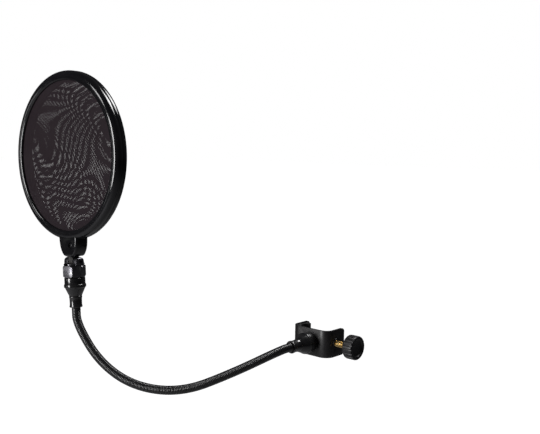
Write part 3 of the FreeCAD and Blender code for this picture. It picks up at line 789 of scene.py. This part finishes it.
screw_x, screw_z = 0.004, -0.0835
head_hole_radius, clear_hole_radius, tapped_hole_radius = 0.0026, 0.00155, 0.00147
front_half = hoop_half(1)
carve(front_half, rod(head_hole_radius, (screw_x, -0.0075, screw_z), (screw_x, -0.0043, screw_z), 40))
carve(front_half, rod(clear_hole_radius, (screw_x, -0.005, screw_z), (screw_x, 0.001, screw_z), 24))
settle(front_half, head_place)
finish(front_half, "front_moulding", hoop_gloss, "hoop", ["front_ring"], 0, 32)
rear_half = hoop_half(-1)
carve(rear_half, rod(tapped_hole_radius, (screw_x, -0.001, screw_z), (screw_x, 0.00505, screw_z), 24))
settle(rear_half, head_place)
finish(rear_half, "rear_moulding", hoop_gloss, "hoop", ["rear_ring"], 0, 32)

# ---- Tongue and lug screw ----------------------------------------------------------------
# A flat steel tongue, coated black, is held in a pocket between the two mouldings by the lug
# screw. Its neck ends in an eye, which the fork's pin runs through.
eye_radius, eye_half_width = 0.0037, 0.003
tongue = block((-0.008, -0.0015, -0.0918), (0.008, 0.0015, -0.0805))
carve(tongue, block((-0.003, -0.005, -0.0944), (0.003, 0.005, -0.09)), "UNION")
eye = rod(eye_radius, (-eye_half_width, 0, pin_z), (eye_half_width, 0, pin_z), 64)
carve(eye, block((-eye_half_width, -eye_radius, pin_z), (eye_half_width, eye_radius, -0.094)), "UNION")
carve(tongue, eye, "UNION")
carve(tongue, rod(pin_hole_radius, (-0.005, 0, pin_z), (0.005, 0, pin_z), 32))
carve(tongue, rod(clear_hole_radius, (screw_x, -0.005, screw_z), (screw_x, 0.005, screw_z), 24))
settle(tongue, head_place)
finish(tongue, "eyed_tongue", coat_black, "hoop", ["hoop_tongue"], 0.00025)
lug_screw_place = Matrix.Translation((screw_x, 0, screw_z)) @ Matrix.Rotation(math.radians(90), 4, "X")
lug_screw = turned([(0, -4.6), (1.2, -4.6), (1.45, -4.3), (1.45, 4.35), (2.4, 4.35), (2.4, 5.25),
                    (2.2, 5.55), (1.4, 5.8), (0, 5.8)], lug_screw_place, 40)
cross_recess(lug_screw, (screw_x, screw_z), 0.0014, 0.0003, -0.0062, -0.0050)
settle(lug_screw, head_place)
finish(lug_screw, "lug_clamp_screw", steel_black, "hoop", ["lug_screw"], 0.00006)

# ---- Spacer and screens ------------------------------------------------------------------
# Two discs of black nylon mesh, cut from flat cloth and stretched by hand over a plastic spacer.
# Each is strained a little unevenly, and its threads wander, so the two layers make a moire.
spacer_black = finish_material(
    "spacer_plastic", (0.006, 0.0055, 0.006), (0.02, 0.018, 0.018), (0.01, 0.01, 0.01),
    0.4, 0.6, 0.0, 70, 1200, 0.00004)
frame["nodes"]["spacer_ring"].data.materials.clear()
frame["nodes"]["spacer_ring"].data.materials.append(spacer_black)
nylon = finish_material(
    "woven_nylon", (0.018, 0.0115, 0.015), (0.030, 0.023, 0.027), (0.02, 0.014, 0.017),
    0.5, 0.7, 0.0, 45, 2600, 0.00004, specular=0.1)
thread_pitch, thread_half_width, thread_half_thickness = 0.62, 0.2, 0.03
screen_reach = 75.9
hold_width = 10.0
layer_offset = 0.045
strain = 0.011


def strained(points, seed):
    """Slow, uneven stretch of a screen in its own plane, none at its edge."""
    draw = np.random.default_rng(seed)
    shift = np.zeros_like(points)
    for wave in range(4):
        heading = draw.uniform(0, 2 * math.pi)
        length = draw.uniform(60, 140)
        phase = draw.uniform(0, 2 * math.pi)
        across = draw.uniform(0, 2 * math.pi)
        along = points[..., 0] * math.cos(heading) + points[..., 1] * math.sin(heading)
        push = strain * length * np.sin(2 * math.pi * along / length + phase)
        shift += push[..., None] * np.array([math.cos(across), math.sin(across)])
    reach = np.hypot(points[..., 0], points[..., 1])
    held = np.clip((screen_reach - reach) / hold_width, 0, 1)
    return points + shift * (held * held * (3 - 2 * held))[..., None]


def mesh_screen(name, depth, turn, seed):
    """A disc of flat threads laid both ways, at a depth behind the hoop's centre plane."""
    stations = 25
    corners, faces = [], []
    for way in (0, 1):
        heading = math.radians(turn + 90 * way)
        run = np.array([math.cos(heading), math.sin(heading)])
        side = np.array([-run[1], run[0]])
        lines = int(screen_reach / thread_pitch)
        for line in range(-lines, lines + 1):
            offset = line * thread_pitch
            half = math.sqrt(screen_reach ** 2 - offset ** 2)
            if half < 2:
                continue
            along = np.linspace(-half, half, stations)[:, None]
            path = strained(along * run + offset * side, seed)
            level = depth + (layer_offset if way else -layer_offset)
            base = len(corners)
            for x, z in path:
                for reach, lift in ((-1, 0), (0, -1), (1, 0), (0, 1)):
                    corners.append(((x + side[0] * reach * thread_half_width) / 1000,
                                    (level + lift * thread_half_thickness) / 1000,
                                    (z + side[1] * reach * thread_half_width) / 1000))
            for station in range(stations - 1):
                here = base + 4 * station
                for corner_index in range(4):
                    after = (corner_index + 1) % 4
                    faces.append((here + corner_index, here + after,
                                  here + 4 + after, here + 4 + corner_index))
            faces.append((base + 3, base + 2, base + 1, base))
            end = base + 4 * (stations - 1)
            faces.append((end, end + 1, end + 2, end + 3))
    mesh = bpy.data.meshes.new(name)
    mesh.from_pydata(corners, [], faces)
    screen = bpy.data.objects.new(name, mesh)
    bpy.context.scene.collection.objects.link(screen)
    only(screen)
    bpy.ops.object.mode_set(mode="EDIT")
    bpy.ops.mesh.select_all(action="SELECT")
    bpy.ops.mesh.normals_make_consistent(inside=False)
    bpy.ops.object.mode_set(mode="OBJECT")
    return settle(screen, head_place)


for name, depth, turn, seed, node in (("front_mesh", -4.35, 2.2, 11, "front_screen"),
                                      ("rear_mesh", 4.35, -2.4, 23, "rear_screen")):
    screen = mesh_screen(name, depth, turn, seed)
    finish(screen, name, nylon, "hoop", [node], 0, 60)
